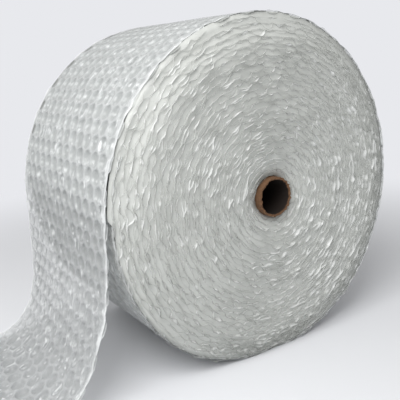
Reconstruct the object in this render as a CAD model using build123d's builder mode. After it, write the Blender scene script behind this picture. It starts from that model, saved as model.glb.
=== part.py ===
from build123d import *
import os
from math import asin, degrees, sqrt

# A part-used roll of bubble wrap on a cardboard core. It lies on its side, and the free end of the
# film hangs down its left side and runs out over the floor.
#
# Millimetres, +Z up. The origin is the middle of the core's bore and +Y runs along it, so the end
# of the roll that faces -Y is its front. The film comes over the top towards -X. Its flat face is
# the outer one, and its bubbles point to the core. The roll's turns and the free end are one
# continuous sheet, so they are one solid, with the sheet at the thickness that it has with its
# bubbles.

# Film
sheet_width = 305.0
sheet_thickness = 8.2  # flat film and the bubbles on it, as one turn takes it up

# Wound turns
roll_radius = 254.0  # out to the face of the last turn, where the free end leaves it
floor_sag = 4.0  # how far the soft roll gives where it stands
sag_blend_radius = 150.0  # rounds the two edges of the flat spot
turn_slip = 14.5  # how far back the last turn has slipped along the axis, against the first
crown_height = 2.0  # extra stand-out of the middle turns, beyond the first one
rim_land = 4.0  # the square edge of the outer turns, beside the shoulder
shoulder_width = 30.0  # turns that round off from the end face to the square edge
shoulder_drop = 12.0  # how far the last turn's edge lies behind the top of the shoulder

# Cardboard core
core_bore_radius = 25.4
core_wall = 3.4
core_length = 305.0
core_stand_out = 3.5  # the core's front end, beyond the first turn
core_clearance = 0.2  # between the core and the first turn, all round

# Free end
hang_radius = 535.0  # the gentle curve in which the film's face hangs from the roll
bend_radius = 85.0  # the bend in which it turns out on to the floor
floor_run = 90.0  # flat on the floor, from the bend to the cut end
lift_off_gap = 1.0  # the film clings to the turn below until it stands this far off

# Worked out from the sizes above
core_radius = core_bore_radius + core_wall
web_bore_radius = core_radius + core_clearance
turn_step = sheet_thickness / 4  # a turn closes in by one thickness, a quarter at a time
floor_height = roll_radius - 3 * turn_step - floor_sag
turn_below_radius = roll_radius - sheet_thickness

first_turn_front = -core_length / 2 + core_stand_out
last_turn_front = first_turn_front + turn_slip
last_turn_back = last_turn_front + sheet_width
front_most = first_turn_front - crown_height
end_reach = 3 * roll_radius  # past the cut end of the film

face_drop = floor_height - sheet_thickness
hang_turn = degrees(asin((face_drop - bend_radius) / (hang_radius - bend_radius)))
cling_length = sqrt(2 * lift_off_gap / (1 / hang_radius + 1 / turn_below_radius))

os.makedirs("parts", exist_ok=True)

# The film: its wound turns and its free end, as one piece
with BuildPart() as bubble_web:
    with BuildSketch(Plane.XZ.offset(-last_turn_back)) as section:
        # The turns. Four quarter arcs close in by one thickness from the last turn to the one below.
        with BuildLine():
            centres = [(0, 0), (0, turn_step), (turn_step, turn_step), (turn_step, 0)]
            for quarter, centre in enumerate(centres):
                CenterArc(centre, roll_radius - quarter * turn_step, 180 - 90 * quarter, -90)
            Line((-turn_below_radius, 0), (-roll_radius, 0))
        make_face()
        with Locations((0, -floor_height)):
            Rectangle(
                2 * roll_radius,
                roll_radius,
                align=(Align.CENTER, Align.MAX),
                mode=Mode.SUBTRACT,
            )
        fillet(section.vertices().group_by(Axis.Y)[0], sag_blend_radius)
        # The free end. Both faces follow the same path, one thickness apart.
        with BuildLine():
            cut_corners = []
            for inset in (0, sheet_thickness):
                top = (-roll_radius + inset, 0)
                hang = JernArc(top, (0, -1), hang_radius + inset, -hang_turn)
                bend = JernArc(hang @ 1, hang % 1, bend_radius + inset, hang_turn - 90)
                run = Line(bend @ 1, (bend @ 1) + Vector(-floor_run, 0))
                cut_corners.append(run @ 1)
            Line(*cut_corners)
            Line((-roll_radius, 0), (-turn_below_radius, 0))
        make_face()
        # The film still clings to the turn below, just under where it leaves.
        with Locations((-turn_below_radius, 0)):
            Rectangle(2 * lift_off_gap, 2 * cling_length)
        Circle(web_bore_radius, mode=Mode.SUBTRACT)
    extrude(amount=last_turn_back - front_most)
    # The ends of the turns. The outer turns have slipped back, so the front is crowned with a round
    # shoulder and the back is hollowed by as much, because every turn is one sheet width long.
    with BuildSketch():
        with BuildLine():
            rim_radius = turn_below_radius - rim_land
            shoulder_radius = rim_radius - shoulder_width
            crown_radius = (core_radius + shoulder_radius) / 2
            for last_turn_end in (last_turn_front, last_turn_back):
                first_turn_end = last_turn_end - turn_slip
                crown = ThreePointArc(
                    (core_bore_radius, first_turn_end),
                    (crown_radius, first_turn_end - crown_height),
                    (shoulder_radius, last_turn_end - shoulder_drop),
                )
                shoulder = TangentArc(
                    crown @ 1, (rim_radius, last_turn_end), tangent=crown % 1
                )
                Line(shoulder @ 1, (end_reach, last_turn_end))
            Line((end_reach, last_turn_front), (end_reach, last_turn_back))
            Line(
                (core_bore_radius, last_turn_front - turn_slip),
                (core_bore_radius, last_turn_back - turn_slip),
            )
        make_face()
    revolve(axis=Axis.Y, mode=Mode.INTERSECT)

bubble_web.part.label = "bubble_web"
export_step(bubble_web.part, "parts/bubble_web.step")

# The core: a spirally wound paper tube, cut as long as the film is wide
with BuildPart() as core_tube:
    with BuildSketch(Plane.XZ):
        Circle(core_radius)
        Circle(core_bore_radius, mode=Mode.SUBTRACT)
    extrude(amount=core_length / 2, both=True)

core_tube.part.label = "core_tube"
export_step(core_tube.part, "parts/core_tube.step")
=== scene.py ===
"""Bubble wrap roll: the looks of a part-used roll of bubble wrap on a cardboard core.

The film is made flat, as it leaves the machine: one hexagonal cell with its bubble is modelled once
and copied over the sheet. The sheet is then slit to width and laid along the path that the film
takes, from its cut end on the floor, up the free end and once round the roll. Under that last turn
only the edges of the turns show, at the two ends of the roll, so each end is one long spiral strip.
"""

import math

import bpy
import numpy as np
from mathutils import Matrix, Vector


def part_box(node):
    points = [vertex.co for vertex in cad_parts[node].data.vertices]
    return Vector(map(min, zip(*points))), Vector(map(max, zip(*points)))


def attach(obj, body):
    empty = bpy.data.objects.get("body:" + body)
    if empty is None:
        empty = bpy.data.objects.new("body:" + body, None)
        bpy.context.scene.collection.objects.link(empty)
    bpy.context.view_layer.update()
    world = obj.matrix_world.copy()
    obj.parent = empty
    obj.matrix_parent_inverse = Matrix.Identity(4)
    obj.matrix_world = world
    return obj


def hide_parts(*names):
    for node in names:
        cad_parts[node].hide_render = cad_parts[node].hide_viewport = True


bl_info = {
    "name": "Bubble Wrap Roll",
    "version": (1, 0, 0),
    "blender": (4, 5, 0),
    "location": "View3D > Sidebar > Bubble Wrap",
    "description": "Builds a part-used roll of bubble wrap with a hanging free end",
    "category": "Object",
}

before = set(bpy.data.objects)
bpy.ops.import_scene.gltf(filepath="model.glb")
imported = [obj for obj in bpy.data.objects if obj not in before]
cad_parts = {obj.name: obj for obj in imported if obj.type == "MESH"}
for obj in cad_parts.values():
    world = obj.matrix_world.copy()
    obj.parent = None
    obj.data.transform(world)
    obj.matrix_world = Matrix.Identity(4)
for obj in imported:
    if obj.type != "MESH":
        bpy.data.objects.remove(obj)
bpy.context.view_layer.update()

# What the frame says about the roll, in metres. The film's outer face is ROLL_RADIUS from the axis
# at the top of the roll, and closes in by a quarter of a turn's thickness at each quarter turn.
WEB_LOW, WEB_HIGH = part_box("bubble_web")
CORE_LOW, CORE_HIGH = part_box("core_tube")
ROLL_RADIUS = WEB_HIGH.z
TURN_STEP = WEB_HIGH.z - WEB_HIGH.x
FLOOR_Z = WEB_LOW.z
BACK_Y = WEB_HIGH.y
CORE_RADIUS = CORE_HIGH.x
# The turn edges start this share of a turn under the place where the film leaves the roll.
UNDER_LAST = 0.3
# The turns at this radius stand out furthest at the front.
CROWN_RADIUS = 0.12


def linear(hex_colour):
    """An sRGB hex colour, such as "d8dadb", as linear RGBA."""
    parts = [int(hex_colour[i : i + 2], 16) / 255 for i in (0, 2, 4)]
    return tuple(c / 12.92 if c <= 0.04045 else ((c + 0.055) / 1.055) ** 2.4 for c in parts) + (1.0,)


# The pale plain grey that the floor fades to.
BACKDROP = linear("e8e9ed")


# ---------------------------------------------------------------------------------------------
# Settings
# ---------------------------------------------------------------------------------------------


class FilmSettings(bpy.types.PropertyGroup):
    """The film and its bubbles"""

    width: bpy.props.FloatProperty(
        name="Film Width", description="Width that the film is slit to", default=0.305, unit="LENGTH"
    )
    pitch: bpy.props.FloatProperty(
        name="Bubble Pitch", description="From one bubble to the next", default=0.024, unit="LENGTH"
    )
    bubble: bpy.props.FloatProperty(
        name="Bubble Diameter", description="Across one bubble", default=0.0214, unit="LENGTH"
    )
    depth: bpy.props.FloatProperty(
        name="Bubble Depth", description="How deep a full bubble is", default=0.0062, unit="LENGTH"
    )
    pillow: bpy.props.FloatProperty(
        name="Pillow Rise",
        description="How far the flat film swells out over a full bubble",
        default=0.0011,
        unit="LENGTH",
    )
    # the weld colour is also the colour of the painted glints and the painted highlight on the film
    weld_and_glint_colour: bpy.props.FloatVectorProperty(
        name="Weld Colour",
        description="Colour of the film where it is welded or creased",
        subtype="COLOR",
        size=4,
        default=linear("f3f5f5"),
    )


class FreeEndSettings(bpy.types.PropertyGroup):
    """The free end that hangs from the roll"""

    hang_radius: bpy.props.FloatProperty(
        name="Hang Radius", description="Curve of the hanging film", default=0.535, unit="LENGTH"
    )
    bend_radius: bpy.props.FloatProperty(
        name="Bend Radius", description="Curve that turns it to the floor", default=0.085, unit="LENGTH"
    )
    floor_run: bpy.props.FloatProperty(
        name="Floor Run", description="Flat film up to the cut end", default=0.09, unit="LENGTH"
    )
    stand_off: bpy.props.FloatProperty(
        name="Stand-off", description="Slack where the film leaves", default=0.0018, unit="LENGTH"
    )
    front_swing: bpy.props.FloatProperty(
        name="Front Swing", description="Outward swing of the front edge", default=0.011, unit="LENGTH"
    )
    back_swing: bpy.props.FloatProperty(
        name="Back Swing", description="Inward swing of the back edge", default=0.016, unit="LENGTH"
    )


class TurnSettings(bpy.types.PropertyGroup):
    """The wound turns and their edges"""

    slip: bpy.props.FloatProperty(
        name="Turn Slip",
        description="How far the last turn has slipped back against the first",
        default=0.0145,
        unit="LENGTH",
    )
    crown: bpy.props.FloatProperty(
        name="Crown", description="Extra stand-out of the middle turns", default=0.002, unit="LENGTH"
    )
    shoulder: bpy.props.FloatProperty(
        name="Shoulder Width", description="Turns that round off", default=0.042, unit="LENGTH"
    )
    edge_depth: bpy.props.FloatProperty(
        name="Edge Depth", description="How far in the turn edges are modelled", default=0.013, unit="LENGTH"
    )
    crush: bpy.props.FloatProperty(
        name="Crush", description="How far the edges are bent about", default=0.0026, unit="LENGTH"
    )


class CoreSettings(bpy.types.PropertyGroup):
    """The cardboard core"""

    bore_radius: bpy.props.FloatProperty(
        name="Bore Radius", description="Inside of the tube", default=0.0254, unit="LENGTH"
    )
    fray: bpy.props.FloatProperty(
        name="Fray", description="How far the cut edge is torn about", default=0.0022, unit="LENGTH"
    )
    colour: bpy.props.FloatVectorProperty(
        name="Board Colour",
        description="Colour of the kraft board's lighter fibres",
        subtype="COLOR",
        size=4,
        default=linear("7b5b40"),
    )


class StageSettings(bpy.types.PropertyGroup):
    """Floor, light and camera"""

    key_power: bpy.props.FloatProperty(
        name="Key Power", description="Watts of the soft key light", default=22.0, min=0.0
    )
    room_light: bpy.props.FloatProperty(
        name="Room Light", description="Strength of the even light all round", default=0.5, min=0.0
    )
    azimuth: bpy.props.FloatProperty(
        name="Azimuth",
        description="How far round from the roll's front the camera stands",
        default=math.radians(-33.34),
        unit="ROTATION",
    )
    elevation: bpy.props.FloatProperty(
        name="Elevation",
        description="How far the camera looks down",
        default=math.radians(13.72),
        unit="ROTATION",
    )
    roll: bpy.props.FloatProperty(
        name="Roll", description="Tilt of the camera", default=math.radians(2.84), unit="ROTATION"
    )
    distance: bpy.props.FloatProperty(
        name="Distance", description="From the camera to its target", default=0.76937, unit="LENGTH"
    )
    lens: bpy.props.FloatProperty(name="Lens", description="Focal length in mm", default=52.2)


PROPERTY_GROUPS = {
    "wrap_film": FilmSettings,
    "wrap_free_end": FreeEndSettings,
    "wrap_turns": TurnSettings,
    "wrap_core": CoreSettings,
    "wrap_stage": StageSettings,
}


# ---------------------------------------------------------------------------------------------
# Small helpers
# ---------------------------------------------------------------------------------------------


def smooth_step(x, low, high):
    t = np.clip((x - low) / (high - low), 0.0, 1.0)
    return t * t * (3 - 2 * t)


def hashed(i, j, seed):
    """A number from 0 to 1 for each pair of whole numbers, always the same for the same pair."""
    n = np.sin(i * 127.1 + j * 311.7 + seed * 74.7) * 43758.5453
    return n - np.floor(n)


def noise2(x, y, seed):
    """Smooth noise from -1 to 1 over a plane, with features about one unit across."""
    i, j = np.floor(x), np.floor(y)
    fx, fy = x - i, y - j
    fx, fy = fx * fx * (3 - 2 * fx), fy * fy * (3 - 2 * fy)
    low = hashed(i, j, seed) * (1 - fx) + hashed(i + 1, j, seed) * fx
    high = hashed(i, j + 1, seed) * (1 - fx) + hashed(i + 1, j + 1, seed) * fx
    return 2 * (low * (1 - fy) + high * fy) - 1


def coordinates(mesh):
    co = np.empty(len(mesh.vertices) * 3, np.float32)
    mesh.vertices.foreach_get("co", co)
    return co.reshape(-1, 3).astype(float)


def set_coordinates(mesh, co):
    mesh.vertices.foreach_set("co", np.ascontiguousarray(co, np.float32).ravel())
    mesh.update()


def add_mesh(name, points, faces):
    """A new object from arrays of points and of faces with equally many corners."""
    mesh = bpy.data.meshes.new(name)
    mesh.from_pydata(points.tolist(), [], faces.tolist())
    piece = bpy.data.objects.new(name, mesh)
    bpy.context.scene.collection.objects.link(piece)
    return piece


def only(piece):
    """Makes the piece the one selected and active object."""
    bpy.ops.object.select_all(action="DESELECT")
    piece.select_set(True)
    bpy.context.view_layer.objects.active = piece


def attribute(piece, name, values):
    layer = piece.data.attributes.new(name, "FLOAT", "POINT")
    layer.data.foreach_set("value", np.ascontiguousarray(values, np.float32))


def film_uv(piece, across, along):
    """The piece's own UV map: metres across the film and metres along it."""
    corners = np.empty(len(piece.data.loops), np.int32)
    piece.data.loops.foreach_get("vertex_index", corners)
    uv = piece.data.uv_layers.new(name="film")
    flat = np.stack([across[corners], along[corners]], axis=1)
    uv.data.foreach_set("uv", np.ascontiguousarray(flat, np.float32).ravel())


def finish_piece(piece, material, node, sharp=None):
    """Gives a piece its material, hangs it under the root body and hides the CAD node that it stands
    for. Corners steeper than the angle sharp stay crisp."""
    piece.data.materials.append(material)
    only(piece)
    if sharp is None:
        bpy.ops.object.shade_smooth()
    else:
        bpy.ops.object.shade_smooth_by_angle(angle=sharp)
    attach(piece, "root")
    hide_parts(node)


# ---------------------------------------------------------------------------------------------
# Materials
# ---------------------------------------------------------------------------------------------


def add_node(material, kind, settings=None, **links):
    """Adds a node. Its settings are attributes, or values of inputs by name or number. Each link is
    an input's name, with spaces as underscores, and the output that feeds it."""
    node = material.node_tree.nodes.new(kind)
    for key, value in (settings or {}).items():
        if isinstance(key, int) or key in node.inputs:
            node.inputs[key].default_value = value
        else:
            setattr(node, key, value)
    for key, output in links.items():
        socket = node.inputs[int(key[1:]) if key[1:].isdigit() else key.replace("_", " ")]
        material.node_tree.links.new(output, socket)
    return node


def new_material(name):
    """A material with an empty tree, its output and its Principled shader."""
    material = bpy.data.materials.new(name)
    material.use_nodes = True
    material.node_tree.nodes.clear()
    shader = add_node(material, "ShaderNodeBsdfPrincipled")
    add_node(material, "ShaderNodeOutputMaterial", Surface=shader.outputs[0])
    return material, shader


def feed(material, output, shader, socket):
    material.node_tree.links.new(output, shader.inputs[socket])


def blown_film(name, milky, weld_and_glint_colour, alpha_roll, alpha_free, roughness):
    """Low-density polyethylene film, blown and heat-sealed: waxy clear, with a soft gloss, milky
    where it is welded, painted white for painted glints and a painted highlight, creased by a bump,
    and see-through where only one or two films lie over each other."""
    material, shader = new_material(name)
    shader.inputs["IOR"].default_value = 1.51
    shader.inputs["Roughness"].default_value = roughness
    uv = add_node(material, "ShaderNodeUVMap", {"uv_map": "film"}).outputs[0]
    cloud = add_node(
        material, "ShaderNodeTexNoise", {"Scale": 1 / 0.035, "Detail": 3.0, "Roughness": 0.6}, Vector=uv
    ).outputs[0]
    crease = add_node(
        material, "ShaderNodeTexNoise", {"Scale": 1 / 0.0045, "Detail": 2.0, "Distortion": 0.8}, Vector=uv
    ).outputs[0]
    tint = add_node(material, "ShaderNodeMixRGB", {1: linear(milky[0]), 2: linear(milky[1])}, Fac=cloud)
    free = add_node(material, "ShaderNodeAttribute", {"attribute_name": "free"}).outputs["Fac"]
    white = add_node(material, "ShaderNodeAttribute", {"attribute_name": "white"}).outputs["Fac"]
    # welds, painted glints and the painted highlight, all held in the white attribute, mix toward the weld
    # colour
    welded = add_node(
        material, "ShaderNodeMixRGB", {2: weld_and_glint_colour}, Fac=white, Color1=tint.outputs[0]
    )
    feed(material, welded.outputs[0], shader, "Base Color")
    bump = add_node(material, "ShaderNodeBump", {"Strength": 0.45, "Distance": 0.0007}, Height=crease)
    feed(material, bump.outputs[0], shader, "Normal")
    base = add_node(
        material, "ShaderNodeMapRange", {"To Min": alpha_roll, "To Max": alpha_free}, Value=free
    ).outputs[0]
    more = add_node(material, "ShaderNodeMath", {"operation": "MAXIMUM"}, _0=base, _1=white).outputs[0]
    feed(material, more, shader, "Alpha")
    return material


def turn_edge_film():
    """The same film seen edge-on in a thick stack: each cut edge gathers light, painted in as white painted
    glints.
    """
    material, shader = new_material("polyethylene_slit_edges")
    shader.inputs["IOR"].default_value = 1.51
    shader.inputs["Roughness"].default_value = 0.18
    uv = add_node(material, "ShaderNodeUVMap", {"uv_map": "film"}).outputs[0]
    crease = add_node(
        material, "ShaderNodeTexNoise", {"Scale": 1 / 0.004, "Detail": 2.0, "Distortion": 0.6}, Vector=uv
    ).outputs[0]
    # white holds the painted glints along the cut edges
    white = add_node(material, "ShaderNodeAttribute", {"attribute_name": "white"}).outputs["Fac"]
    tint = add_node(
        material, "ShaderNodeMixRGB", {1: linear("bfc1bd"), 2: linear("f1f2f1")}, Fac=white
    ).outputs[0]
    feed(material, tint, shader, "Base Color")
    bump = add_node(material, "ShaderNodeBump", {"Strength": 0.5, "Distance": 0.0006}, Height=crease)
    feed(material, bump.outputs[0], shader, "Normal")
    clear = add_node(material, "ShaderNodeMapRange", {"To Min": 0.34, "To Max": 0.72}, Value=white)
    feed(material, clear.outputs[0], shader, "Alpha")
    return material


def wound_film():
    """Many films deep: the stack scatters light until it looks like frosted white plastic."""
    material, shader = new_material("polyethylene_wound_stack")
    shader.inputs["IOR"].default_value = 1.51
    shader.inputs["Roughness"].default_value = 0.45
    place = add_node(material, "ShaderNodeTexCoord").outputs["Object"]
    cloud = add_node(material, "ShaderNodeTexNoise", {"Scale": 1 / 0.012, "Detail": 3.0}, Vector=place)
    tint = add_node(
        material,
        "ShaderNodeMixRGB",
        {1: linear("b4b6b2"), 2: linear("cdcfcb")},
        Fac=cloud.outputs[0],
    )
    feed(material, tint.outputs[0], shader, "Base Color")
    return material


def kraft_board(colour):
    """Recycled kraft board, wound in spiral plies and glued: matt brown and fibrous; its faint ply seams are
    not drawn.
    """
    material, shader = new_material("kraft_board_spiral_wound")
    shader.inputs["Roughness"].default_value = 0.9
    shader.inputs["IOR"].default_value = 1.45
    place = add_node(material, "ShaderNodeTexCoord").outputs["Object"]
    fibre = add_node(material, "ShaderNodeTexNoise", {"Scale": 1 / 0.0015, "Detail": 4.0}, Vector=place)
    tint = add_node(
        material,
        "ShaderNodeMixRGB",
        {1: linear("4e3624"), 2: colour},
        Fac=fibre.outputs[0],
    )
    # painted shade: the inside mask darkens the bore
    inside = add_node(material, "ShaderNodeAttribute", {"attribute_name": "inside"}).outputs["Fac"]
    shade = add_node(
        material, "ShaderNodeMixRGB", {2: linear("1c130d")}, Fac=inside, Color1=tint.outputs[0]
    )
    feed(material, shade.outputs[0], shader, "Base Color")
    bump = add_node(
        material, "ShaderNodeBump", {"Strength": 0.4, "Distance": 0.0004}, Height=fibre.outputs[0]
    )
    feed(material, bump.outputs[0], shader, "Normal")
    return material


# ---------------------------------------------------------------------------------------------
# The film's path and the shape of the roll
# ---------------------------------------------------------------------------------------------


def path_parts(scene):
    """The film's path along its outer face as arcs of (length, curvature), from the cut end on."""
    free = scene.wrap_free_end
    drop = -FLOOR_Z - 4 * TURN_STEP
    turn = math.asin((drop - free.bend_radius) / (free.hang_radius - free.bend_radius))
    parts = [
        (free.floor_run, 0.0),
        (free.bend_radius * (math.pi / 2 - turn), 1 / free.bend_radius),
        (free.hang_radius * turn, 1 / free.hang_radius),
    ]
    for quarter in range(4):
        radius = ROLL_RADIUS - quarter * TURN_STEP
        parts.append((radius * math.pi / 2, -1 / radius))
    parts.append((0.09, -1 / (ROLL_RADIUS - 4 * TURN_STEP)))
    return parts


def free_length(scene):
    return sum(length for length, _ in path_parts(scene)[:3])


def path_length(scene):
    return sum(length for length, _ in path_parts(scene))


def along_path(scene, along):
    """Points and outward normals, in the XZ plane, at these lengths from the cut end."""
    parts = path_parts(scene)
    point, heading, start = np.zeros(2), 0.0, 0.0
    points = np.zeros((len(along), 2))
    headings = np.zeros(len(along))
    for number, (length, curvature) in enumerate(parts):
        if number == 3:
            points -= point - np.array([-ROLL_RADIUS, 0.0])
            point = np.array([-ROLL_RADIUS, 0.0])
        last = number == len(parts) - 1
        here = (along >= start) & ((along < start + length) | last)
        gone = along[here] - start
        if curvature == 0:
            points[here] = point + gone[:, None] * [math.cos(heading), math.sin(heading)]
            step = length * np.array([math.cos(heading), math.sin(heading)])
        else:
            turned = heading + curvature * gone
            points[here, 0] = point[0] + (np.sin(turned) - math.sin(heading)) / curvature
            points[here, 1] = point[1] - (np.cos(turned) - math.cos(heading)) / curvature
            ended = heading + curvature * length
            step = (
                np.array([math.sin(ended) - math.sin(heading), math.cos(heading) - math.cos(ended)])
                / curvature
            )
        headings[here] = heading + curvature * gone
        point = point + step
        heading += curvature * length
        start += length
    normals = np.stack([-np.sin(headings), np.cos(headings)], axis=1)
    return points, normals


def front_y(scene):
    return BACK_Y - scene.wrap_film.width


def sag_bulge(x, z):
    """How far the soft roll bulges beside the flat spot that it stands on."""
    down = np.degrees(np.arctan2(x, -z))
    return 0.0032 * (np.exp(-(((down - 42) / 20) ** 2)) + np.exp(-(((down + 42) / 20) ** 2)))


def on_floor(z, softness=0.004):
    """Lets the film flatten softly on the floor instead of passing through it."""
    return FLOOR_Z + 0.0003 + softness * np.logaddexp(0.0, (z - FLOOR_Z) / softness)


def lay_film(scene, across, along, out):
    """Takes points of the flat film on to the roll and the free end. across is measured from the
    front edge, along from the cut end, and out from the film's outer face."""
    film, free = scene.wrap_film, scene.wrap_free_end
    tail = free_length(scene)
    points, normals = along_path(scene, along)
    round_roll = smooth_step(along, tail + 0.02, tail + 0.12)
    # slack where the film leaves, and slow waves of a film that isn't pulled tight
    slack = free.stand_off * np.exp(-(((along - tail + 0.04) / 0.16) ** 2))
    wave = 0.0012 * noise2(along / 0.07, across / 0.09, 3.0) * (1 - 0.6 * round_roll)
    bulge = sag_bulge(points[:, 0], points[:, 1]) * smooth_step(along, tail + 0.4, tail + 0.6)
    lift = out + slack + wave + bulge
    # the slit edges are wavy and curl a little
    for edge, seed in ((across, 11.0), (film.width - across, 23.0)):
        near = np.exp(-((edge / 0.006) ** 2))
        lift = lift + near * (
            0.0010 * noise2(along / 0.009, edge * 0, seed)
            + 0.0008 * noise2(along / 0.024, edge * 0, seed + 1)
        )
    front = np.exp(-((across / 0.02) ** 2)) - np.exp(-(((film.width - across) / 0.02) ** 2))
    sideways = 0.0009 * noise2(along / 0.012, along * 0, 5.0) + 0.0012 * noise2(
        along / 0.06, along * 0, 6.0
    )
    x = points[:, 0] + normals[:, 0] * lift
    z = points[:, 1] + normals[:, 1] * lift
    # the free end hangs a little twisted: its front edge swings out and its back edge swings in
    share = across / film.width
    fall = np.clip((tail - along) / tail, 0.0, 1.0)
    swing = -free.front_swing * smooth_step(fall, 0.25, 0.62) * (1 - share)
    swing = swing + free.back_swing * smooth_step(fall, 0.05, 0.5) * share
    x = x + swing
    y = front_y(scene) + across + sideways * np.abs(front)
    z = np.where(along < tail, np.maximum(z, FLOOR_Z + 0.0004), on_floor(z))
    return np.stack([x, y, z], axis=1)


# ---------------------------------------------------------------------------------------------
# The flat film
# ---------------------------------------------------------------------------------------------


def bubble_cell(scene, name, segments, rings):
    """One hexagonal cell of film with its bubble. Each ring is (share of the bubble's radius,
    height), from the middle out, and the last loop runs out to the edge of the hexagon."""
    film = scene.wrap_film
    radius = film.bubble / 2
    bpy.ops.object.select_all(action="DESELECT")
    bpy.ops.mesh.primitive_circle_add(
        vertices=segments, radius=radius * rings[1][0], fill_type="TRIFAN", location=(0, 0, 0)
    )
    cell = bpy.context.object
    cell.name = name
    bpy.ops.object.mode_set(mode="EDIT")
    bpy.ops.mesh.select_mode(type="EDGE")
    bpy.ops.mesh.select_all(action="SELECT")
    bpy.ops.mesh.region_to_loop()
    shares = [share for share, _ in rings[1:]]
    for inner, outer in zip(shares, shares[1:] + [1.1]):
        bpy.ops.mesh.extrude_edges_move()
        bpy.ops.transform.resize(value=(outer / inner, outer / inner, 1))
    bpy.ops.object.mode_set(mode="OBJECT")
    co = coordinates(cell.data)
    reach = np.hypot(co[:, 0], co[:, 1]) / radius
    angle = np.arctan2(co[:, 1], co[:, 0])
    heights = rings + [(1.1, 0.0)]
    co[:, 2] = np.interp(reach, [s for s, _ in heights], [h for _, h in heights])
    rim = reach > 1.05
    side = (angle + math.pi / 6) % (math.pi / 3) - math.pi / 6
    hexagon = film.pitch / 2 / np.cos(side)
    co[rim, 0] = (hexagon * np.cos(angle))[rim]
    co[rim, 1] = (hexagon * np.sin(angle))[rim]
    set_coordinates(cell.data, co)
    return cell


def row_pitch(scene):
    return scene.wrap_film.pitch * math.sqrt(3) / 2


def nearest_bubble(scene, across, along):
    """The whole-number column and row of the bubble that each point of the flat film is nearest."""
    pitch, row = scene.wrap_film.pitch, row_pitch(scene)
    best = np.full(len(across), 1e9)
    column, line = np.zeros(len(across)), np.zeros(len(across))
    middle = np.round(along / row)
    for shift in (-1, 0, 1):
        j = middle + shift
        offset = 0.5 * (j % 2)
        i = np.round(across / pitch - offset)
        gap = np.hypot(across - (i + offset) * pitch, along - j * row)
        nearer = gap < best
        best = np.where(nearer, gap, best)
        column, line = np.where(nearer, i, column), np.where(nearer, j, line)
    return column, line, best


def flat_sheet(scene, cell, length):
    """Copies the cell over the sheet, welds the copies and slits the sheet to width and length."""
    pitch, row = scene.wrap_film.pitch, row_pitch(scene)
    width = scene.wrap_film.width
    points = coordinates(cell.data)
    faces = [list(p.vertices) for p in cell.data.polygons]
    all_points, all_faces = [], []
    for j in range(-1, int(length / row) + 2):
        for i in range(-1, int(width / pitch) + 2):
            shift = [(i + 0.5 * (j % 2)) * pitch, j * row, 0.0]
            base = len(all_points) * len(points)
            all_points.append(points + shift)
            all_faces += [[v + base for v in face] for face in faces]
    mesh = bpy.data.meshes.new(cell.name)
    mesh.from_pydata(np.concatenate(all_points).tolist(), [], all_faces)
    sheet = bpy.data.objects.new(cell.name, mesh)
    bpy.context.scene.collection.objects.link(sheet)
    name = cell.name
    bpy.data.objects.remove(cell)
    sheet.name = name
    only(sheet)
    bpy.ops.object.mode_set(mode="EDIT")
    bpy.ops.mesh.select_all(action="SELECT")
    bpy.ops.mesh.remove_doubles(threshold=0.0002)
    cuts = [
        ((0, 0, 0), (-1, 0, 0)),
        ((width, 0, 0), (1, 0, 0)),
        ((0, 0, 0), (0, -1, 0)),
        ((0, length, 0), (0, 1, 0)),
    ]
    for place, side in cuts:
        bpy.ops.mesh.select_all(action="SELECT")
        bpy.ops.mesh.bisect(plane_co=place, plane_no=side, clear_outer=True)
    bpy.ops.mesh.select_all(action="SELECT")
    bpy.ops.mesh.normals_make_consistent(inside=False)
    bpy.ops.object.mode_set(mode="OBJECT")
    return sheet


def lay_sheet(scene, sheet, deep):
    """Gives each bubble its own fullness, then lays the flat sheet along the film's path."""
    co = coordinates(sheet.data)
    across, along, out = co[:, 0].copy(), co[:, 1].copy(), co[:, 2].copy()
    column, line, gap = nearest_bubble(scene, across, along)
    fullness = 0.55 + 0.6 * hashed(column, line, 7.0)
    tail = free_length(scene)
    edge = np.minimum(across, scene.wrap_film.width - across)
    slack_edge = 0.45 + 0.55 * smooth_step(edge, 0.0, 0.012)
    out = out * fullness * slack_edge
    if deep:
        out = out - 0.0004
    placed = lay_film(scene, across, along, out)
    set_coordinates(sheet.data, placed)
    film_uv(sheet, across, along)
    attribute(sheet, "free", 1 - smooth_step(along, tail - 0.03, tail + 0.05))
    crinkle = noise2(along / 0.006, across / 0.004, 31.0) * 0.5 + 0.5
    # the slit edges are whiter: partly the crinkled film's own scatter, partly a painted highlight along the
    # edge
    white = np.exp(-((edge / 0.0065) ** 2)) * (0.6 + 0.4 * crinkle)
    # films welded to each other between the bubbles scatter more light
    weld = smooth_step(gap, scene.wrap_film.bubble * 0.4, scene.wrap_film.bubble * 0.54)
    white = np.maximum(white, 0.42 * weld * (0.45 + 0.55 * crinkle))
    # painted glints: short white streaks, as where creases catch the light
    painted_glint = smooth_step(noise2(across / 0.0035, along / 0.010, 33.0), 0.55, 0.8)
    white = np.maximum(white, 0.75 * painted_glint)
    # painted highlight: one bubble near the front edge is painted white where it catches the light
    painted_highlight = np.hypot((across - 0.039) * 1.3, along - tail - 0.098)
    white = np.maximum(white, 1.0 - smooth_step(painted_highlight, 0.006, 0.0095))
    attribute(sheet, "white", white)
    return sheet


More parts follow.
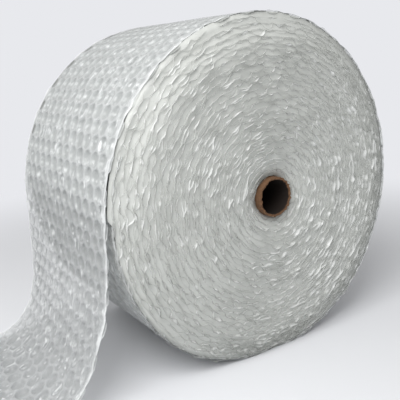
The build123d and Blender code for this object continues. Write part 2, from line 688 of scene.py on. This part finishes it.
class WRAP_OT_film(bpy.types.Operator):
    """Lays the film from its cut end up the free end and once round the roll"""

    bl_idname = "wrap.film"
    bl_label = "Add Film"

    def execute(self, context):
        scene = context.scene
        film = scene.wrap_film
        length = path_length(scene)
        rise, depth = film.pillow, film.depth
        pillow = [(0.0, rise), (0.45, rise * 0.86), (0.8, rise * 0.42), (1.0, 0.0)]
        flat = flat_sheet(scene, bubble_cell(scene, "flat_film", 12, pillow), length)
        lay_sheet(scene, flat, deep=False)
        # the weld colour, also used for the painted glints and the painted highlight
        weld = film.weld_and_glint_colour
        clear = blown_film("polyethylene_flat_film", ("b9bcbc", "d2d4d4"), weld, 0.16, 0.14, 0.15)
        finish_piece(flat, clear, "bubble_web")
        cup = [(0.0, -depth), (0.5, -depth * 0.95), (0.8, -depth * 0.74), (0.95, -depth * 0.3), (1.0, 0)]
        bubbles = flat_sheet(scene, bubble_cell(scene, "bubble_film", 12, cup), length)
        lay_sheet(scene, bubbles, deep=True)
        formed = blown_film("polyethylene_bubble_film", ("989b9a", "b6b9b8"), weld, 0.96, 0.55, 0.22)
        finish_piece(bubbles, formed, "bubble_web")
        return {"FINISHED"}


# ---------------------------------------------------------------------------------------------
# The wound turns
# ---------------------------------------------------------------------------------------------


def face_y(scene, radius):
    """Where the front end's turn edges lie, from the core out: crowned, with a round shoulder."""
    turns = scene.wrap_turns
    last = front_y(scene)
    top = last - turns.slip - turns.crown
    shoulder = smooth_step(radius, ROLL_RADIUS - turns.shoulder - 0.012, ROLL_RADIUS - 0.004) ** 1.4
    core_dip = 0.006 * np.exp(-(((radius - CORE_RADIUS) / 0.018) ** 2))
    crown = turns.crown * ((radius - CROWN_RADIUS) / CROWN_RADIUS) ** 2
    return top + crown + core_dip + (last - top - crown) * shoulder


def turn_count():
    return (ROLL_RADIUS - CORE_RADIUS) / (4 * TURN_STEP) - 1.0


def spiral(turn):
    """Radius and direction of the film's outer face at this many turns from where it leaves."""
    clockwise = (turn % 1.0) * 2 * math.pi
    nominal = ROLL_RADIUS - 4 * TURN_STEP * turn
    x, z = -np.cos(clockwise), np.sin(clockwise)
    # the four arcs of the last turn stand off a plain spiral by up to one step
    out_of_round = TURN_STEP * 2 * np.clip(np.sin(clockwise), 0, 1) * (1 - (turn % 1.0))
    flat = ROLL_RADIUS - 3 * TURN_STEP + FLOOR_Z
    bottom = -flat * np.exp(-((np.degrees(np.arctan2(x, -z)) / 15) ** 2))
    depth = np.clip(nominal / ROLL_RADIUS, 0, 1) ** 4
    bulge = sag_bulge(x, z) * depth
    return nominal + out_of_round * depth + bottom * depth * 0.9 + bulge, x, z


def edge_strip(scene, name, back):
    """The edges of all the turns at one end of the roll, as two spiral strips: the flat film, and
    the bubble film with the half bubbles that the slitting left along its edge."""
    film, turns = scene.wrap_film, scene.wrap_turns
    thick = 4 * TURN_STEP
    seed = 60.0 if back else 40.0
    count = turn_count() + 1.0 - UNDER_LAST
    inner = CORE_RADIUS + 0.0015
    total = math.pi * (ROLL_RADIUS + inner) * count
    steps = int(total / 0.0026)
    share = np.linspace(0, 1, steps)
    # equal lengths along the spiral
    outer = ROLL_RADIUS - UNDER_LAST * thick
    radius = np.sqrt(outer**2 - share * (outer**2 - inner**2))
    turn = UNDER_LAST + (outer - radius) / thick
    along = share * total
    row = row_pitch(scene)
    pieces = []
    for layer, columns in (
        ("flat", [0.0, 0.0045, turns.edge_depth]),
        ("bubble", [0.0, 0.0022, 0.0055, 0.0095, turns.edge_depth]),
    ):
        u = np.repeat(along, len(columns))
        w = np.tile(np.array(columns), steps)
        r, x, z = spiral(np.repeat(turn, len(columns)))
        near = np.exp(-((w / 0.005) ** 2))
        line = np.round(u / row)
        offset = 0.5 * (line % 2) * film.pitch
        reach = np.hypot(u - line * row, w - offset) / (film.bubble / 2)
        other = np.hypot(u - line * row, w - offset - film.pitch) / (film.bubble / 2)
        dome = np.sqrt(np.clip(1 - np.minimum(reach, other) ** 2.6, 0, 1))
        full = 0.25 + 0.75 * hashed(line, line * 0, seed + 1)
        if layer == "bubble":
            r = r - 0.0006 - (thick - 0.0014) * dome * full
        else:
            r = r + 0.0007 * dome
        crush = turns.crush * (0.35 + 0.65 * near)
        # the crush of one turn follows that of the turn beside it
        x_place, z_place = x * r, z * r
        r = r + crush * 0.7 * noise2(x_place / 0.011, z_place / 0.011, seed + 2)
        r = r + crush * 0.45 * noise2(u / 0.0062, w / 0.004, seed + 3)
        ragged = 0.0016 * noise2(u / 0.03, u * 0, seed + 4) + 0.0011 * noise2(u / 0.007, u * 0, seed + 5)
        if layer == "bubble":
            ragged = ragged + 0.0012 * noise2(u / 0.012, u * 0, seed + 6) + 0.0005
        nominal = np.hypot(x_place, z_place)
        y = face_y(scene, nominal) + w + ragged * near
        if back:
            y = face_y(scene, nominal) + film.width - w - ragged * near
        points = np.stack([x * r, y, np.maximum(z * r, FLOOR_Z + 0.0008)], axis=1)
        grid = np.arange(steps * len(columns)).reshape(steps, len(columns))
        a, b = grid[:-1, :-1].ravel(), grid[1:, :-1].ravel()
        c, d = grid[1:, 1:].ravel(), grid[:-1, 1:].ravel()
        quads = np.stack([a, d, c, b] if back else [a, b, c, d], axis=1)
        piece = add_mesh(f"{name}_{layer}", points, quads)
        film_uv(piece, w, u)
        # painted glints: the cut edges are painted white, brightest at random sparkles along the spiral
        sparkle = noise2(u / 0.008, w * 0, seed + 7) * 0.5 + 0.5
        attribute(piece, "white", np.exp(-((w / 0.0035) ** 2)) * (0.2 + 0.8 * smooth_step(sparkle, 0.5, 0.8)))
        pieces.append(piece)
    bpy.ops.object.select_all(action="DESELECT")
    for piece in pieces:
        piece.select_set(True)
    bpy.context.view_layer.objects.active = pieces[0]
    bpy.ops.object.join()
    strip = bpy.context.object
    strip.name = name
    return strip


def spin_profile(name, profile, segments):
    """Turns a closed outline of (radius, y) points round the roll's axis into a solid ring."""
    points = np.array([(r, y, 0.0) for r, y in profile])
    mesh = bpy.data.meshes.new(name)
    edges = [(i, (i + 1) % len(points)) for i in range(len(points))]
    mesh.from_pydata(points.tolist(), edges, [])
    ring = bpy.data.objects.new(name, mesh)
    bpy.context.scene.collection.objects.link(ring)
    only(ring)
    bpy.ops.object.mode_set(mode="EDIT")
    bpy.ops.mesh.select_all(action="SELECT")
    bpy.ops.mesh.spin(steps=segments, angle=2 * math.pi, center=(0, 0, 0), axis=(0, 1, 0))
    bpy.ops.mesh.select_all(action="SELECT")
    bpy.ops.mesh.remove_doubles(threshold=0.00005)
    bpy.ops.mesh.select_all(action="SELECT")
    bpy.ops.mesh.normals_make_consistent(inside=False)
    bpy.ops.object.mode_set(mode="OBJECT")
    return ring


class WRAP_OT_turns(bpy.types.Operator):
    """Adds the wound turns: the stack of film, and the turn edges at its two ends"""

    bl_idname = "wrap.turns"
    bl_label = "Add Wound Turns"

    def execute(self, context):
        scene = context.scene
        film, turns = scene.wrap_film, scene.wrap_turns
        # the stack fills the roll up to the last turn's film at its ends, and clears the last
        # turn's bubbles between them
        inner, outer = CORE_RADIUS + 0.0004, ROLL_RADIUS - 0.0017
        waist = ROLL_RADIUS - film.depth - 0.0034
        radii = np.linspace(inner, outer, 24)
        sunk = turns.edge_depth * (0.3 - 0.24 * smooth_step(radii, outer - 0.016, outer - 0.002))
        front = [(r, float(face_y(scene, r)) + d) for r, d in zip(radii, sunk)]
        back = [(r, y + film.width - 2 * d) for (r, y), d in zip(front[::-1], sunk[::-1])]
        middle = [(waist, front[-1][1] + 0.014), (waist, back[0][1] - 0.014)]
        stack = spin_profile("wound_turns", front + middle + back, 144)
        co = coordinates(stack.data)
        reach = np.hypot(co[:, 0], co[:, 2])
        clockwise = np.arctan2(co[:, 2], -co[:, 0]) % (2 * math.pi)
        sag = (ROLL_RADIUS - spiral(clockwise / (2 * math.pi))[0]) * (reach / ROLL_RADIUS) ** 6
        co[:, 0] *= 1 - sag / reach
        co[:, 2] = np.maximum(co[:, 2] * (1 - sag / reach), FLOOR_Z + 0.0016)
        set_coordinates(stack.data, co)
        finish_piece(stack, wound_film(), "bubble_web")
        edges = turn_edge_film()
        for name, at_back in (("front_turn_edges", False), ("back_turn_edges", True)):
            strip = edge_strip(scene, name, at_back)
            finish_piece(strip, edges, "bubble_web")
        return {"FINISHED"}


# ---------------------------------------------------------------------------------------------
# The core
# ---------------------------------------------------------------------------------------------


class WRAP_OT_core(bpy.types.Operator):
    """Adds the cardboard core with its frayed ends"""

    bl_idname = "wrap.core"
    bl_label = "Add Core"

    def execute(self, context):
        core = context.scene.wrap_core
        low, high = CORE_LOW.y, CORE_HIGH.y
        fine = [0.0, 0.0004, 0.0012, 0.0024, 0.004, 0.007, 0.012]
        outside = [(CORE_RADIUS, low + d) for d in fine[1:]]
        outside += [(CORE_RADIUS, high - d) for d in fine[:0:-1]]
        inside = [(core.bore_radius, high - d) for d in fine[1:]]
        inside += [(core.bore_radius, low + d) for d in fine[:0:-1]]
        cut = [CORE_RADIUS - 0.0005, (CORE_RADIUS + core.bore_radius) / 2, core.bore_radius + 0.0005]
        front_cut = [(r, low) for r in cut[::-1]]
        back_cut = [(r, high) for r in cut]
        tube = spin_profile("core_board", outside + back_cut + inside + front_cut, 120)
        co = coordinates(tube.data)
        angle = np.arctan2(co[:, 2], co[:, 0])
        reach = np.hypot(co[:, 0], co[:, 2])
        for end, side in ((low, 1), (high, -1)):
            inward = (co[:, 1] - end) * side
            near = np.exp(-((inward / 0.0035) ** 2))
            torn = noise2(angle * 9, reach / 0.002, 71.0 + side) + 0.6 * noise2(
                angle * 23, reach / 0.001, 75.0 + side
            )
            co[:, 1] += side * core.fray * 0.6 * near * (torn + 0.9)
            spread = core.fray * 0.45 * near * noise2(angle * 13, angle * 0, 79.0 + side)
            co[:, 0] += np.cos(angle) * spread
            co[:, 2] += np.sin(angle) * spread
        set_coordinates(tube.data, co)
        # painted shade: the bore is painted darker the deeper it goes from the cut ends
        depth = np.minimum(co[:, 1] - low, high - co[:, 1])
        attribute(tube, "inside", (reach < core.bore_radius + 0.0004) * smooth_step(depth, 0.0005, 0.004))
        finish_piece(tube, kraft_board(core.colour), "core_tube", math.radians(40))
        return {"FINISHED"}


# ---------------------------------------------------------------------------------------------
# Stage
# ---------------------------------------------------------------------------------------------


class WRAP_OT_stage(bpy.types.Operator):
    """Adds the floor, the soft light and the camera"""

    bl_idname = "wrap.stage"
    bl_label = "Add Stage"

    def execute(self, context):
        scene = context.scene
        settings = scene.wrap_stage
        bpy.ops.object.select_all(action="DESELECT")
        bpy.ops.mesh.primitive_plane_add(size=16, location=(0, 0, FLOOR_Z - 0.0002))
        floor = bpy.context.object
        floor.name = "floor"
        paper = bpy.data.materials.new("seamless_paper")
        paper.use_nodes = True
        paper.node_tree.nodes.clear()
        matt = add_node(paper, "ShaderNodeBsdfDiffuse", {"Color": linear("e6e7ea")})
        glow = add_node(paper, "ShaderNodeEmission", {"Color": BACKDROP})
        place = add_node(paper, "ShaderNodeTexCoord").outputs["Object"]
        away = add_node(paper, "ShaderNodeVectorMath", {"operation": "LENGTH"}, Vector=place)
        fade = add_node(
            paper,
            "ShaderNodeMapRange",
            {"From Min": 0.5, "From Max": 1.3, "interpolation_type": "SMOOTHSTEP"},
            Value=away.outputs["Value"],
        )
        ray = add_node(paper, "ShaderNodeLightPath")
        seen = add_node(
            paper,
            "ShaderNodeMath",
            {"operation": "MULTIPLY"},
            _0=fade.outputs[0],
            _1=ray.outputs["Is Camera Ray"],
        )
        mix = add_node(
            paper, "ShaderNodeMixShader", _0=seen.outputs[0], _1=matt.outputs[0], _2=glow.outputs[0]
        )
        add_node(paper, "ShaderNodeOutputMaterial", Surface=mix.outputs[0])
        floor.data.materials.append(paper)

        world = bpy.data.worlds.new("studio")
        scene.world = world
        world.use_nodes = True
        world.node_tree.nodes.clear()
        even = add_node(world, "ShaderNodeBackground", {"Color": (1, 1, 1, 1)})
        even.inputs["Strength"].default_value = settings.room_light
        plain = add_node(world, "ShaderNodeBackground", {"Color": BACKDROP, "Strength": 1.0})
        ray = add_node(world, "ShaderNodeLightPath")
        mix = add_node(
            world,
            "ShaderNodeMixShader",
            _0=ray.outputs["Is Camera Ray"],
            _1=even.outputs[0],
            _2=plain.outputs[0],
        )
        add_node(world, "ShaderNodeOutputWorld", Surface=mix.outputs[0])

        key = bpy.data.lights.new("key", "AREA")
        key.energy = settings.key_power
        key.size = 0.95
        lamp = bpy.data.objects.new("key", key)
        scene.collection.objects.link(lamp)
        lamp.location = (-0.92, -0.66, 1.0)
        aim = Vector((-0.05, -0.1, 0.0)) - lamp.location
        lamp.rotation_euler = aim.to_track_quat("-Z", "Y").to_euler()

        eye = bpy.data.cameras.new("camera")
        camera = bpy.data.objects.new("camera", eye)
        scene.collection.objects.link(camera)
        scene.camera = camera
        azimuth, elevation = settings.azimuth, settings.elevation
        back = Vector(
            (
                math.sin(azimuth) * math.cos(elevation),
                -math.cos(azimuth) * math.cos(elevation),
                math.sin(elevation),
            )
        )
        target = Vector((-0.464 * ROLL_RADIUS, front_y(scene), 0.054 * ROLL_RADIUS))
        turned = (-back).to_track_quat("-Z", "Y").to_matrix().to_4x4()
        camera.matrix_world = (
            Matrix.Translation(target + back * settings.distance)
            @ turned
            @ Matrix.Rotation(-settings.roll, 4, "Z")
        )
        eye.sensor_width = 36
        eye.lens = settings.lens
        eye.clip_start = 0.05
        eye.clip_end = 50
        scene.view_settings.view_transform = "Standard"
        return {"FINISHED"}


class WRAP_PT_panel(bpy.types.Panel):
    """Lists the settings and the steps"""

    bl_idname = "WRAP_PT_panel"
    bl_label = "Bubble Wrap Roll"
    bl_space_type = "VIEW_3D"
    bl_region_type = "UI"
    bl_category = "Bubble Wrap"

    def draw(self, context):
        for name, group in PROPERTY_GROUPS.items():
            box = self.layout.box()
            box.label(text=group.__doc__)
            for prop in group.__annotations__:
                box.prop(getattr(context.scene, name), prop)
        for operator in OPERATORS:
            self.layout.operator(operator.bl_idname)


OPERATORS = (WRAP_OT_stage, WRAP_OT_film, WRAP_OT_turns, WRAP_OT_core)


def register():
    for name, group in PROPERTY_GROUPS.items():
        bpy.utils.register_class(group)
        setattr(bpy.types.Scene, name, bpy.props.PointerProperty(type=group))
    for cls in OPERATORS + (WRAP_PT_panel,):
        bpy.utils.register_class(cls)


def unregister():
    for cls in (WRAP_PT_panel,) + OPERATORS[::-1]:
        bpy.utils.unregister_class(cls)
    for name, group in PROPERTY_GROUPS.items():
        delattr(bpy.types.Scene, name)
        bpy.utils.unregister_class(group)


def main():
    register()
    bpy.ops.wrap.stage()
    bpy.ops.wrap.film()
    bpy.ops.wrap.turns()
    bpy.ops.wrap.core()


if __name__ == "__main__":
    main()
